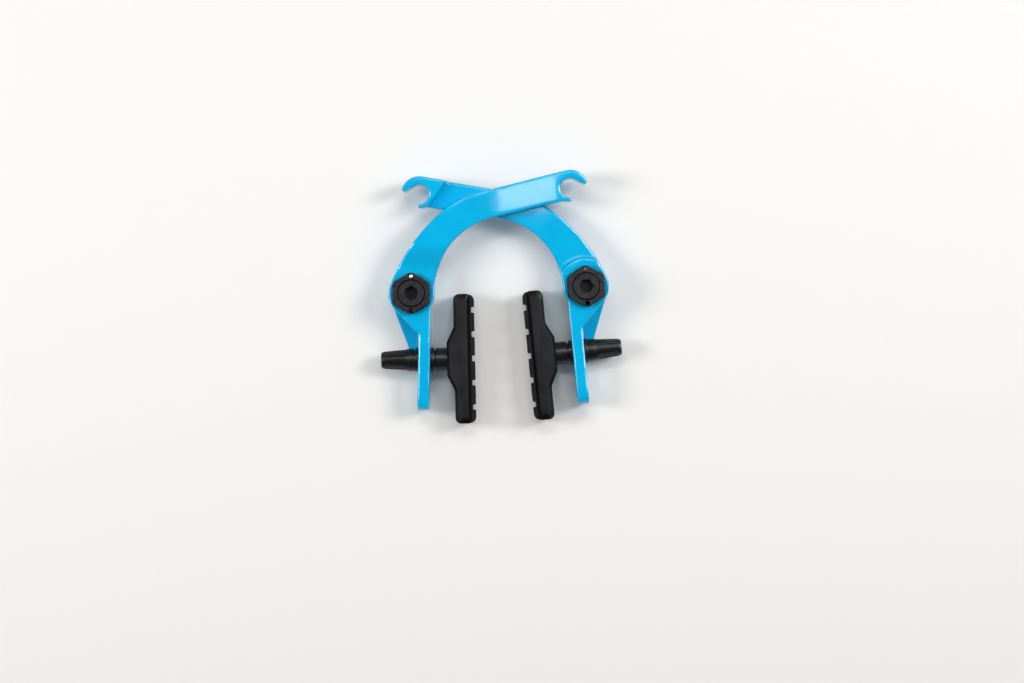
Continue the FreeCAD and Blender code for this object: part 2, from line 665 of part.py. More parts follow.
def dome(name, way, neck, end):
    """Dome washer that rocks in the cup: neck is its rim's distance from the cup's rim."""
    body = new_body(name)
    hole = "post_r + post_gap"
    ball = "(dome_ball_r - dome_gap)"
    profile = [
        (f"{way} * (ball_at - sqrt({ball}^2 - ({hole})^2))", hole),
        (f"{way} * (ball_at - sqrt({ball}^2 - dome_nose_r^2))", "dome_nose_r", ball, -way),
        (f"{way} * (cup_rim + {neck})", "dome_nose_r"),
        (f"{way} * (cup_rim + {neck})", "dome_r"),
        (f"{way} * ({end})", "dome_r"),
        (f"{way} * ({end})", hole),
    ]
    turned(body, profile, "H_Axis")
    return body


def flat_washer(name):
    body = new_body(name)
    middle = ("0 * post_r", "0 * post_r")
    circles = [(*middle, "flat_r"), (*middle, "post_r + post_gap")]
    pad(body, rings(body, name + "_ring", "YZ_Plane", circles, "nut_at"), "flat_thick")
    return body


def nut(name):
    """Tapered nut with a hexagon socket in its rounded end."""
    body = new_body(name)
    profile = [
        ("nut_at", "post_r + thread_gap"),
        ("nut_at", "nut_r"),
        ("nut_at - nut_long + nut_round", "nut_end_r"),
        ("nut_at - nut_long", "nut_end_r - nut_round", "nut_round", 1),
        ("nut_at - nut_long", "0 * nut_r"),
        ("nut_at - post_in_nut", "0 * nut_r"),
        ("nut_at - post_in_nut", "post_r + thread_gap"),
    ]
    turned(body, profile, "H_Axis")
    corners = six_corners("nut_socket / 2 / cos(30)")
    sketch = outline(body, name + "_socket", "YZ_Plane", corners, "nut_at - nut_long")
    pocket(body, sketch, "nut_socket_deep", up=True)
    return body


def post(name):
    """Threaded post with the steel plate that the pad is moulded round."""
    body = new_body(name)
    middle = ("0 * post_r", "0 * post_r")
    start = "nut_at - post_in_nut + thread_gap"
    stud = rings(body, name + "_stud", "YZ_Plane", [(*middle, "post_r")], start)
    pad(body, stud, f"pad_at + plate_at + plate_thick / 2 - ({start})")
    corners = [
        ("-plate_long / 2", "-plate_wide / 2"),
        ("plate_long / 2", "-plate_wide / 2"),
        ("plate_long / 2", "plate_wide / 2"),
        ("-plate_long / 2", "plate_wide / 2"),
    ]
    pad(body, outline(body, name + "_plate", "YZ_Plane", corners, "pad_at + plate_at"), "plate_thick")
    return body


def brake_pad(name, stud):
    """Moulded pad round the post's plate, with a grooved friction face."""
    body = new_body(name + "_moulding")
    back = [
        ("pad_at", "pad_mid / 2"),
        ("pad_at", "-pad_mid / 2"),
        ("pad_at + pad_ends", "-pad_mid / 2 - pad_slope"),
        ("pad_at + pad_ends", "-pad_long / 2"),
        ("pad_at + pad_back", "-pad_long / 2"),
        ("pad_at + pad_back", "pad_long / 2"),
        ("pad_at + pad_ends", "pad_long / 2"),
        ("pad_at + pad_ends", "pad_mid / 2 + pad_slope"),
    ]
    pad(body, outline(body, name + "_back", "XY_Plane", back), "pad_wide").Midplane = True
    edge_z = number("pad_wide / 2")
    end_x = number("pad_at + pad_ends")
    half = number("pad_long / 2")
    dress(body, "Fillet", "pad_blend_r", lambda e: at_slope(e, edge_z, end_x, half))
    dress(body, "Chamfer", "pad_chamfer", lambda e: on_back(e, edge_z, end_x, half))
    face = [
        ("pad_at + pad_back - pad_chamfer", "-pad_long / 2"),
        ("pad_at + pad_back + pad_face", "-pad_long / 2"),
        ("pad_at + pad_back + pad_face", "pad_long / 2"),
        ("pad_at + pad_back - pad_chamfer", "pad_long / 2"),
    ]
    pad(body, outline(body, name + "_face", "XY_Plane", face), "face_wide").Midplane = True
    first = "-groove_pitch * (groove_count - 1) / 2"
    groove = [
        ("pad_at + pad_back + pad_face - groove_deep", f"{first} - groove_wide / 2"),
        ("pad_at + pad_back + 2 * pad_face", f"{first} - groove_wide / 2"),
        ("pad_at + pad_back + 2 * pad_face", f"{first} + groove_wide / 2"),
        ("pad_at + pad_back + pad_face - groove_deep", f"{first} + groove_wide / 2"),
    ]
    sketch = outline(body, name + "_groove", "XY_Plane", groove)
    cut = pocket(body, sketch)
    doc.recompute([body])
    row = body.newObject("PartDesign::LinearPattern", name + "_grooves")
    row.Originals = [cut]
    row.Direction = (sketch, ["V_Axis"])
    row.setExpression("Length", bound("groove_pitch * (groove_count - 1)"))
    row.setExpression("Occurrences", bound("groove_count"))
    body.Tip = row
    whole = doc.addObject("Part::Cut", name)
    whole.Label = name
    whole.Base = body
    whole.Tool = stud
    return body, whole


def at_slope(edge, level, end_x, half):
    """Whether an edge runs from front to rear beside the raised middle of the pad's back."""
    first, last = edge.Vertexes[0], edge.Vertexes[-1]
    return abs(first.Z - last.Z) > level and first.X < end_x + 0.1 and abs(first.Y) < half - 1


def on_back(edge, level, end_x, half):
    """Whether an edge bounds the front or rear side of the pad's back, its ends included."""
    spots = [edge.valueAt(p) for p in samples(edge)]
    flat = all(abs(abs(s.z) - level) < 1e-4 for s in spots)
    at_back = all(s.x < end_x + 1e-3 for s in spots)
    at_end = all(abs(abs(s.y) - half) < 1e-3 for s in spots)
    return flat and (at_back or at_end)


def derive_rest():
    """Levels of the pivot set, and places along the pad's post from the middle of the leg."""
    derive("hex_corner", "hex_flats / 2 / cos(30)")
    derive("hex_low", "boss_depth - seat_sink + axial_gap")
    derive("hex_top", "hex_low + hex_thick")
    derive("tip_top", "hex_top - spring_tip_sink - spring_low - spring_wire / 2")
    derive("head_top", "hex_top - head_sink")
    derive("head_floor", "head_top - head_thick")
    derive("stud_bore_top", "head_floor - shoulder")
    derive("socket_corner", "socket_flats / 2 / cos(30)")
    derive("cup_rim", "leg_thick / 2 + washer_gap + cup_thick")
    derive("ball_at", "cup_rim + sqrt(dome_ball_r^2 - cup_r^2)")
    derive("flat_at", "-cup_rim - outer_neck - outer_dome")
    derive("nut_at", "flat_at - flat_thick")


def side_set(side, way):
    """All that belongs to one arm: way is -1 on the left and 1 on the right."""
    drop = side + "_post_drop"
    held = [bush(side + "_arm_bush"), adjuster(side + "_spring_adjuster"), bolt(side + "_pivot_bolt")]
    for piece, turn in zip(held, (f"{way} * lean", side + "_hex_turn", side + "_bolt_turn")):
        on_pivot(piece, way, turn)
    coil = spring(side + "_return_spring", way < 0)
    coil_turn = f"{side}_hex_turn - {way} * (90 - spring_end_turn)"
    place(coil, f"{way} * pivot_span / 2", "0 * lean", "spring_low + spring_wire / 2", coil_turn)
    x = f"{way} * (pivot_span / 2 - leg_middle * cos(lean) + {drop} * sin(lean))"
    y = f"-leg_middle * sin(lean) - {drop} * cos(lean)"
    cups = [cup(side + "_inner_cup", 1), cup(side + "_outer_cup", -1)]
    for piece in cups:
        place(piece, x, y, "post_height", f"{90 * (way + 1)} + {way} * lean")
    stud = post(side + "_pad_post")
    moulding, block = brake_pad(side + "_brake_pad", stud)
    on_post = [
        stud,
        dome(side + "_inner_dome", 1, "inner_neck", "pad_at"),
        dome(side + "_outer_dome", -1, "outer_neck", "-flat_at"),
        flat_washer(side + "_flat_washer"),
        nut(side + "_pad_nut"),
    ]
    for piece in on_post + [moulding]:
        place(piece, x, y, "post_height", f"{90 * (way + 1)} + {way} * (lean - {side}_pad_tilt)")
    return held + [coil] + cups + on_post + [block]


def check(pieces):
    """Stops with a message where an object failed or a piece isn't one sound solid."""
    for o in doc.Objects:
        if "Invalid" in o.State or "Error" in o.State:
            raise RuntimeError(f"{o.Label} was not built")
    for piece in pieces:
        if piece.Shape.isNull() or not piece.Shape.isValid():
            raise RuntimeError(f"{piece.Label} has no valid shape")


list_sizes()
derive_arm()
derive_rest()
arms = [front_arm("left_arm"), rear_arm("right_arm")]
on_pivot(arms[0], -1, "-lean")
on_pivot(arms[1], 1, "lean")
whole_brake = arms + side_set("left", -1) + side_set("right", 1)
doc.recompute()
check(whole_brake)
os.makedirs("parts", exist_ok=True)
for piece in whole_brake:
    piece.Shape.exportStep(f"parts/{piece.Label}.step")
    box = piece.Shape.BoundBox
    print(f"{piece.Label}: {len(piece.Shape.Solids)} solid, z {box.ZMin:.2f} to {box.ZMax:.2f}")
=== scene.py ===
import json
import math

import bmesh
import bpy
from bpy.props import FloatProperty, FloatVectorProperty, IntProperty, PointerProperty
from mathutils import Matrix, Vector


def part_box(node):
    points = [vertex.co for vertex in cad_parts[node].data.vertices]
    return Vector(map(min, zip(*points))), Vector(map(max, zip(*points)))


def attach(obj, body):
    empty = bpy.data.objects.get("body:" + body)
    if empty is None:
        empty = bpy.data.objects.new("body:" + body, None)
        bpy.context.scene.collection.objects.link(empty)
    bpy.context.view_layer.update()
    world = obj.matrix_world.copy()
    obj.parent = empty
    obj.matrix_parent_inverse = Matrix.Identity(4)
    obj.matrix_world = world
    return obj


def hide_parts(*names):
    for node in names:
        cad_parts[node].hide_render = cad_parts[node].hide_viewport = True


bl_info = {
    "name": "U Brake",
    "version": (1, 0, 0),
    "blender": (4, 5, 0),
    "location": "View3D > Sidebar > U Brake",
    "description": "Finishes a bicycle's U brake: enamelled arms, steel fittings, springs, pads",
    "category": "Add Mesh",
}

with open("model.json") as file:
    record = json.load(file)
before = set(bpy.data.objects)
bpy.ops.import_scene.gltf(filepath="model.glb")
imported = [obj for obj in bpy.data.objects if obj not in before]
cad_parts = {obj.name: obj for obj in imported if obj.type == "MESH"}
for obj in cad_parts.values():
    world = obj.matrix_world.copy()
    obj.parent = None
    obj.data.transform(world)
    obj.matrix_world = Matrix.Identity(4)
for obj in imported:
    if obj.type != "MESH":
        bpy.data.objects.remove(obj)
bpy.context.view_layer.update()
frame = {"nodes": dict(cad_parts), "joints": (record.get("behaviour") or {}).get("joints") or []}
nodes = frame["nodes"]
joints = {joint["name"]: joint for joint in frame["joints"]}
MM = 0.001
# Each side, and the sign of x on it.
SIDES = (("left", -1), ("right", 1))

# Name, place, width and height in metres, and power in watts.
LAMPS = (
    ("softbox right", (0.62, 0.20, 0.82), (0.24, 0.40), 4.4),
    ("softbox left", (-0.72, 0.10, 0.72), (0.24, 0.40), 4.0),
    ("softbox above", (0.0, 0.40, 0.94), (0.50, 0.12), 2.1),
    ("highlight right", (0.70, 0.34, 0.64), (0.95, 0.38), 27.0),
    ("highlight left", (-0.78, 0.06, 0.64), (0.50, 0.30), 7.5),
    ("window beside the camera", (0.024, 0.151, 1.118), (0.053, 0.110), 0.14),
)
# The camera looks straight down. At its reach below it, the picture is this wide, all in metres.
CAMERA_PLACE = (5.1 * MM, -23.8 * MM, 1.118)
CAMERA_TURN = math.radians(-2.36)
CAMERA_REACH = 1.1
PICTURE_WIDTH = 0.4682
SENSOR_MM = 36

# The numbers from here on are millimetres.
# Screw threads: the helix's radius, its wire's radius, how far it sinks where it fades, and its
# two ends, the bolt's from the floor up and the post's from the middle of the leg to the pad.
THREAD_RADIUS = 2.83
THREAD_WIRE = 0.28
THREAD_DEPTH = 0.3
BOLT_THREAD = (0.9, 16.2)
POST_THREAD = (-8.2, 10.2)
# A return spring's straight foot, and the turn in degrees of the flange's hole for its tip.
SPRING_FOOT = 3.0
HOLE_TURN = {"left": -2.4, "right": 1.5}
# A rib on the tapered nut: how far from the nut's end and from its axis it starts and ends,
# and how deep its axis is sunk below the nut's face.
RIB_START = (11.0, 4.57)
RIB_END = (1.5, 3.85)
RIB_SINK = 0.25
# The pad's moulding and its friction block, seen from the front: x along the post, y along the
# pad, and each corner's radius. Half their depths, and what rounds their edges.
PAD_OUTLINE = (
    (10.4, 7.6, 2.2), (10.4, -7.6, 2.2), (13.8, -14.6, 4.0), (13.8, -29.75, 2.6),
    (20.8, -29.75, 0.8), (20.8, 29.75, 0.8), (13.8, 29.75, 2.6), (13.8, 14.6, 4.0),
)
PAD_HALF = 6.5
BLOCK_BACK, BLOCK_FACE, BLOCK_END = 20.3, 23.2, 29.5
BLOCK_HALF = 5.2
BLOCK_CHAMFER = 0.3
MOULD_RADIUS = 0.18
# Grooves across the friction face: from one to the next, their floor, and half their width at
# the floor and at the face.
GROOVE_STEP = 11.2
GROOVE_FLOOR = 21.8
GROOVE_HALVES = (1.2, 1.4)


def linear(hex_value):
    """Linear RGBA of an sRGB hex colour such as "00B4EA"."""
    parts = [int(hex_value[i:i + 2], 16) / 255 for i in (0, 2, 4)]
    rgb = tuple(p / 12.92 if p <= 0.04045 else ((p + 0.055) / 1.055) ** 2.4 for p in parts)
    return rgb + (1.0,)


def add(tree, kind, inputs=None, **settings):
    """Adds a node, sets its properties, and gives named or numbered inputs a value or a link.

    Inputs 1 to 4 of a Map Range are the range that it reads and the range that it gives.
    """
    node = tree.nodes.new(kind)
    for name, value in settings.items():
        setattr(node, name, value)
    for key, value in (inputs or {}).items():
        socket = node.inputs[key]
        if isinstance(value, bpy.types.NodeSocket):
            tree.links.new(value, socket)
        else:
            socket.default_value = value
    return node


def new_material(name):
    """(material, tree): a material without nodes, and its node tree."""
    material = bpy.data.materials.new(name)
    material.use_nodes = True
    material.node_tree.nodes.clear()
    return material, material.node_tree


def soft_edges(tree, radius, low, high):
    """(normal, edge): a normal that rounds the edges, and 0 to 1 where it leaves the face's own."""
    soft = add(tree, "ShaderNodeBevel", {"Radius": radius}, samples=10)
    face = add(tree, "ShaderNodeNewGeometry")
    turn = add(
        tree, "ShaderNodeVectorMath", {0: soft.outputs[0], 1: face.outputs["Normal"]},
        operation="DOT_PRODUCT",
    )
    edge = add(
        tree, "ShaderNodeMapRange",
        {"Value": turn.outputs["Value"], 1: high, 2: low, 3: 0.0, 4: 1.0},
    )
    return soft.outputs[0], edge.outputs[0]


def blend_colours(tree, factor, first, second):
    """A mix of two colours, each a hex value, a linear colour or a socket."""
    mix = add(tree, "ShaderNodeMix", {0: factor}, data_type="RGBA")
    # Inputs 6 and 7 and output 2 are the node's colours.
    for key, colour in ((6, first), (7, second)):
        if isinstance(colour, bpy.types.NodeSocket):
            tree.links.new(colour, mix.inputs[key])
        else:
            value = linear(colour) if isinstance(colour, str) else (*colour[:3], 1)
            mix.inputs[key].default_value = value
    return mix.outputs[2]


def finish_material(tree, colour, roughness, normal, **numbers):
    """(shader, output): the surface shader, with single numbers on its own sockets."""
    shader = add(tree, "ShaderNodeBsdfPrincipled")
    for name, value in numbers.items():
        shader.inputs[name.replace("_", " ")].default_value = value
    for name, value in (("Base Color", colour), ("Roughness", roughness), ("Normal", normal)):
        if isinstance(value, bpy.types.NodeSocket):
            tree.links.new(value, shader.inputs[name])
        elif value is not None:
            shader.inputs[name].default_value = value
    return shader, add(tree, "ShaderNodeOutputMaterial", {"Surface": shader.outputs[0]})


def enamel(settings, name, pivot):
    """Wet-sprayed enamel on forged aluminium.

    It gives a deep gloss, the faint orange peel of a sprayed coat, and paler edges.
    """
    material, tree = new_material(name)
    place = add(tree, "ShaderNodeTexCoord").outputs["Object"]
    # The forging's edges are round, but the flange's seat is cut into it afterwards and keeps
    # its crisp corner.
    seat, past_seat = 10.5 * MM, 10.9 * MM
    crisp, forged = 0.2 * MM, 1.6 * MM
    about = add(tree, "ShaderNodeVectorMath", {0: place, 1: pivot}, operation="SUBTRACT")
    flat = add(
        tree, "ShaderNodeVectorMath", {0: about.outputs[0], 1: (1, 1, 0)}, operation="MULTIPLY"
    )
    reach = add(tree, "ShaderNodeVectorMath", {0: flat.outputs[0]}, operation="LENGTH")
    radius = add(
        tree, "ShaderNodeMapRange",
        {"Value": reach.outputs["Value"], 1: seat, 2: past_seat, 3: crisp, 4: forged},
    )
    normal, edge = soft_edges(tree, radius.outputs[0], 0.60, 0.95)
    # The forging under the coat is a little uneven over some 12 mm, and the coat pales where it
    # thins on edges.
    uneven = add(
        tree, "ShaderNodeTexNoise", {"Vector": place, "Scale": 1 / (12 * MM), "Detail": 2.0}
    )
    drift = add(
        tree, "ShaderNodeMapRange", {"Value": uneven.outputs[0], 1: 0.3, 2: 0.7, 3: 0.0, 4: 1.0}
    )
    body = blend_colours(
        tree, drift.outputs[0], settings.enamel_colour, settings.enamel_shade
    )
    thin = add(tree, "ShaderNodeMath", {0: edge, 1: 0.30}, operation="MULTIPLY")
    colour = blend_colours(tree, thin.outputs[0], body, settings.enamel_edge)
    # Orange peel: cells of about 1.1 mm and a few thousandths of a millimetre high.
    peel = add(
        tree, "ShaderNodeTexNoise", {"Vector": place, "Scale": 1 / (1.1 * MM), "Detail": 1.0}
    )
    bump = add(
        tree, "ShaderNodeBump",
        {"Strength": 0.03, "Distance": 0.02 * MM, "Height": peel.outputs[0], "Normal": normal},
    )
    # Patches of some 6 mm, as handling leaves them, change the gloss a little.
    wipe = add(
        tree, "ShaderNodeTexNoise", {"Vector": place, "Scale": 1 / (6 * MM), "Detail": 3.0}
    )
    gloss = add(
        tree, "ShaderNodeMapRange", {"Value": wipe.outputs[0], 1: 0.3, 2: 0.7, 3: 0.02, 4: 0.06}
    )
    finish_material(tree, colour, gloss.outputs[0], bump.outputs[0], IOR=1.5)
    return material


def turned_steel(settings, name, centre, dark, bright, roughness, pitch, face):
    """Black-oxide steel, faced on a lathe.

    It gives a dull black with rings of fine tool marks, and steel that shines on worn edges.
    """
    material, tree = new_material(name)
    place = add(tree, "ShaderNodeTexCoord").outputs["Object"]
    about = add(
        tree, "ShaderNodeMapping", {"Vector": place, "Location": tuple(-c for c in centre)}
    )
    flat = add(
        tree, "ShaderNodeVectorMath", {0: about.outputs[0], 1: (1, 1, 0)}, operation="MULTIPLY"
    )
    reach = add(tree, "ShaderNodeVectorMath", {0: flat.outputs[0]}, operation="LENGTH")
    # A tool's feed is about 0.1 mm. The marks are drawn some three times as far apart, so that
    # a few of them still show.
    rings = add(
        tree, "ShaderNodeMath", {0: reach.outputs["Value"], 1: 2 * math.pi / pitch},
        operation="MULTIPLY",
    )
    wave = add(tree, "ShaderNodeMath", {0: rings.outputs[0]}, operation="SINE")
    normal, edge = soft_edges(tree, 0.10 * MM, 0.70, 0.98)
    marks = add(
        tree, "ShaderNodeBump",
        {"Strength": 0.10, "Distance": 0.02 * MM, "Height": wave.outputs[0], "Normal": normal},
    )
    # The oxide takes unevenly, in blotches of some 2.5 mm.
    blotch = add(
        tree, "ShaderNodeTexNoise",
        {"Vector": place, "Scale": 1 / (2.5 * MM), "Detail": 4.0, "Roughness": 0.6},
    )
    spread = add(
        tree, "ShaderNodeMapRange", {"Value": blotch.outputs[0], 1: 0.35, 2: 0.7, 3: 0.0, 4: 1.0}
    )
    body = blend_colours(tree, spread.outputs[0], dark, bright)
    rub = add(tree, "ShaderNodeMath", {0: edge, 1: spread.outputs[0]}, operation="MULTIPLY")
    wear_and_highlight = blend_colours(tree, rub.outputs[0], body, settings.steel_edge)
    # Below its turned face, in sockets and holes and down the sides, the colour turns near black:
    # painted shade.
    height = add(tree, "ShaderNodeSeparateXYZ", {0: place})
    sunk = add(
        tree, "ShaderNodeMapRange",
        {"Value": height.outputs["Z"], 1: face - 0.5 * MM, 2: face - 1.2 * MM, 3: 0.0, 4: 0.85},
    )
    colour = blend_colours(tree, sunk.outputs[0], wear_and_highlight, "060607")
    rough = add(
        tree, "ShaderNodeMapRange",
        {"Value": blotch.outputs[0], 1: 0.3, 2: 0.7, 3: roughness - 0.05, 4: roughness + 0.06},
    )
    finish_material(
        tree, colour, rough.outputs[0], marks.outputs[0], Metallic=0.45, Specular_IOR_Level=0.25
    )
    return material


def plated(name, dark, bright, roughness, metallic, streaks, along, level=0.5):
    """A plated, drawn or sintered metal part.

    It gives fine streaks or grain of the size streaks, stretched where along is small, a little
    cloudiness, and a painted highlight along its edges.
    """
    material, tree = new_material(name)
    place = add(tree, "ShaderNodeTexCoord").outputs["Object"]
    squeezed = add(tree, "ShaderNodeMapping", {"Vector": place, "Scale": along})
    grain = add(
        tree, "ShaderNodeTexNoise",
        {"Vector": squeezed.outputs[0], "Scale": 1 / streaks, "Detail": 2.0},
    )
    cloud = add(
        tree, "ShaderNodeTexNoise", {"Vector": place, "Scale": 1 / (3 * MM), "Detail": 3.0}
    )
    shade = add(
        tree, "ShaderNodeMapRange", {"Value": cloud.outputs[0], 1: 0.3, 2: 0.7, 3: 0.0, 4: 1.0}
    )
    normal, edge = soft_edges(tree, 0.25 * MM, 0.75, 0.995)
    bump = add(
        tree, "ShaderNodeBump",
        {"Strength": 0.04, "Distance": 0.01 * MM, "Height": grain.outputs[0], "Normal": normal},
    )
    body = blend_colours(tree, shade.outputs[0], dark, bright)
    # A painted highlight: edges turn light grey, or the bright colour on full metal.
    lit = add(tree, "ShaderNodeMath", {0: edge, 1: 0.35}, operation="MULTIPLY")
    wear_and_highlight = "5A5A5E" if metallic < 0.9 else bright
    colour = blend_colours(tree, lit.outputs[0], body, wear_and_highlight)
    rough = add(
        tree, "ShaderNodeMapRange",
        {"Value": grain.outputs[0], 1: 0.3, 2: 0.7, 3: roughness * 0.9, 4: roughness * 1.1},
    )
    finish_material(
        tree, colour, rough.outputs[0], bump.outputs[0],
        Metallic=metallic, Specular_IOR_Level=level,
    )
    return material


def anodised_nut():
    """Black anodising on turned aluminium.

    It gives a deep, even black with small scuffs of about 1.2 mm and a tight sheen.
    """
    material, tree = new_material("black anodised aluminium")
    place = add(tree, "ShaderNodeTexCoord").outputs["Object"]
    normal, edge = soft_edges(tree, 0.20 * MM, 0.75, 0.995)
    scuff = add(
        tree, "ShaderNodeTexNoise",
        {"Vector": place, "Scale": 1 / (1.2 * MM), "Detail": 4.0, "Roughness": 0.65},
    )
    bump = add(
        tree, "ShaderNodeBump",
        {"Strength": 0.06, "Distance": 0.02 * MM, "Height": scuff.outputs[0], "Normal": normal},
    )
    shade = add(
        tree, "ShaderNodeMapRange", {"Value": scuff.outputs[0], 1: 0.35, 2: 0.7, 3: 0.0, 4: 1.0}
    )
    body = blend_colours(tree, shade.outputs[0], "060607", "101012")
    rub = add(tree, "ShaderNodeMath", {0: edge, 1: 0.25}, operation="MULTIPLY")
    colour = blend_colours(tree, rub.outputs[0], body, "4A4A4E")
    rough = add(
        tree, "ShaderNodeMapRange", {"Value": scuff.outputs[0], 1: 0.3, 2: 0.7, 3: 0.26, 4: 0.36}
    )
    finish_material(tree, colour, rough.outputs[0], bump.outputs[0], Specular_IOR_Level=0.35)
    return material


def moulded_rubber(settings, name, body, edge_shade_colour, roughness, grain, dust):
    """Hard moulded brake rubber.

    It gives the fine grain of a sparked mould, faint flow lines, a little bloom, and smoother
    edges with painted shade on them.
    """
    material, tree = new_material(name)
    place = add(tree, "ShaderNodeTexCoord").outputs["Object"]
    normal, edge = soft_edges(tree, 0.35 * MM, 0.80, 0.995)
    speck = add(
        tree, "ShaderNodeTexNoise",
        {"Vector": place, "Scale": 1 / grain, "Detail": 3.0, "Roughness": 0.7},
    )
    # Flow lines: a slow drift over 9 mm, cut into ripples.
    flow = add(
        tree, "ShaderNodeTexNoise",
        {"Vector": place, "Scale": 1 / (9 * MM), "Detail": 1.0, "Distortion": 1.5},
    )
    lines = add(tree, "ShaderNodeMath", {0: flow.outputs[0], 1: 90.0}, operation="MULTIPLY")
    ripple = add(tree, "ShaderNodeMath", {0: lines.outputs[0]}, operation="SINE")
    height = add(
        tree, "ShaderNodeMath", {0: ripple.outputs[0], 1: 0.12, 2: speck.outputs[0]},
        operation="MULTIPLY_ADD",
    )
    bump = add(
        tree, "ShaderNodeBump",
        {"Strength": 0.45, "Distance": 0.05 * MM, "Height": height.outputs[0], "Normal": normal},
    )
    # Bloom: paler clouds of some 7 mm.
    bloom = add(
        tree, "ShaderNodeTexNoise", {"Vector": place, "Scale": 1 / (7 * MM), "Detail": 4.0}
    )
    cloudy = add(
        tree, "ShaderNodeMapRange", {"Value": bloom.outputs[0], 1: 0.35, 2: 0.7, 3: 0.0, 4: dust}
    )
    dusty = blend_colours(tree, cloudy.outputs[0], body, settings.rubber_bloom)
    # The edges take the edge colour: painted shade.
    colour = blend_colours(tree, edge, dusty, edge_shade_colour)
    rough = add(
        tree, "ShaderNodeMapRange",
        {"Value": speck.outputs[0], 1: 0.3, 2: 0.7, 3: roughness - 0.08, 4: roughness + 0.08},
    )
    finish_material(
        tree, colour, rough.outputs[0], bump.outputs[0], IOR=1.5, Specular_IOR_Level=0.10
    )
    return material


def give(piece, material):
    """Makes a material the piece's only one."""
    piece.data.materials.clear()
    piece.data.materials.append(material)


def mesh_piece(name, build, where):
    """An object at the origin whose mesh is what build makes, moved to where."""
    mesh = bpy.data.meshes.new(name)
    shape = bmesh.new()
    build(shape)
    shape.transform(where)
    bmesh.ops.recalc_face_normals(shape, faces=shape.faces)
    shape.to_mesh(mesh)
    shape.free()
    mesh.shade_smooth()
    mesh.set_sharp_from_angle(angle=math.radians(32))
    piece = bpy.data.objects.new(name, mesh)
    bpy.context.scene.collection.objects.link(piece)
    return piece


def rounded(corners, steps=5):
    """Points of a closed outline whose corners (x, y, radius) are rounded."""
    points = []
    for i, (x, y, radius) in enumerate(corners):
        here = Vector((x, y))
        to_last = (Vector(corners[i - 1][:2]) - here).normalized()
        to_next = (Vector(corners[(i + 1) % len(corners)][:2]) - here).normalized()
        half = to_last.angle(to_next) / 2
        if radius < 1e-6 or half > math.radians(89):
            points.append(here)
            continue
        centre = here + (to_last + to_next).normalized() * radius / math.sin(half)
        first = here + to_last * radius / math.tan(half) - centre
        last = here + to_next * radius / math.tan(half) - centre
        sweep = math.pi - 2 * half
        turn = sweep if first.x * last.y - first.y * last.x > 0 else -sweep
        for k in range(steps + 1):
            a = turn * k / steps
            cos, sin = math.cos(a), math.sin(a)
            spot = Vector((first.x * cos - first.y * sin, first.x * sin + first.y * cos))
            points.append(centre + spot)
    return points


def inset(corners, amounts):
    """Corners of an outline drawn in by an amount for each of its edges. It turns left."""
    lines = []
    for i, amount in enumerate(amounts):
        start, end = Vector(corners[i][:2]), Vector(corners[(i + 1) % len(corners)][:2])
        along = (end - start).normalized()
        lines.append((start + Vector((-along.y, along.x)) * amount, along))
    moved = []
    for i, corner in enumerate(corners):
        (p, u), (q, v) = lines[i - 1], lines[i]
        gap = q - p
        run = (gap.x * v.y - gap.y * v.x) / (u.x * v.y - u.y * v.x)
        moved.append((*(p + u * run), corner[2]))
    return moved


def moulded_block(shape, corners, half, amounts, chamfer):
    """A block of twice half's depth on an outline, with slopes round its front and its rear."""
    small = rounded(inset(corners, amounts))
    full = rounded(corners)
    rings = []
    for outline, z in (
        (small, -half), (full, chamfer - half), (full, half - chamfer), (small, half)
    ):
        rings.append([shape.verts.new((p.x * MM, p.y * MM, z * MM)) for p in outline])
    for low, high in zip(rings, rings[1:]):
        for i in range(len(low)):
            shape.faces.new((low[i - 1], low[i], high[i], high[i - 1]))
    shape.faces.new(rings[0])
    shape.faces.new(rings[-1])


def friction_outline(grooves):
    """Outline of the friction block, a comb with grooves across its face."""
    at_floor, at_face = GROOVE_HALVES
    comb = [(BLOCK_BACK, -BLOCK_END, 0.4), (BLOCK_FACE, -BLOCK_END, 2.6)]
    for k in range(grooves):
        y = GROOVE_STEP * (k - (grooves - 1) / 2)
        comb += [
            (BLOCK_FACE, y - at_face, 0.3), (GROOVE_FLOOR, y - at_floor, 0.2),
            (GROOVE_FLOOR, y + at_floor, 0.2), (BLOCK_FACE, y + at_face, 0.3),
        ]
    return comb + [(BLOCK_FACE, BLOCK_END, 2.6), (BLOCK_BACK, BLOCK_END, 0.4)]


def post_frame(side):
    """A pad's own axes: x from the middle of the leg along the post to the pad, z to the front."""
    joint = joints[side + "_pad_turn"]
    out = Vector(joint["axis"]).normalized()
    front = Vector((0, 0, 1))
    turn = Matrix((out, front.cross(out), front)).transposed().to_4x4()
    return Matrix.Translation(joint["pos_m"]) @ turn


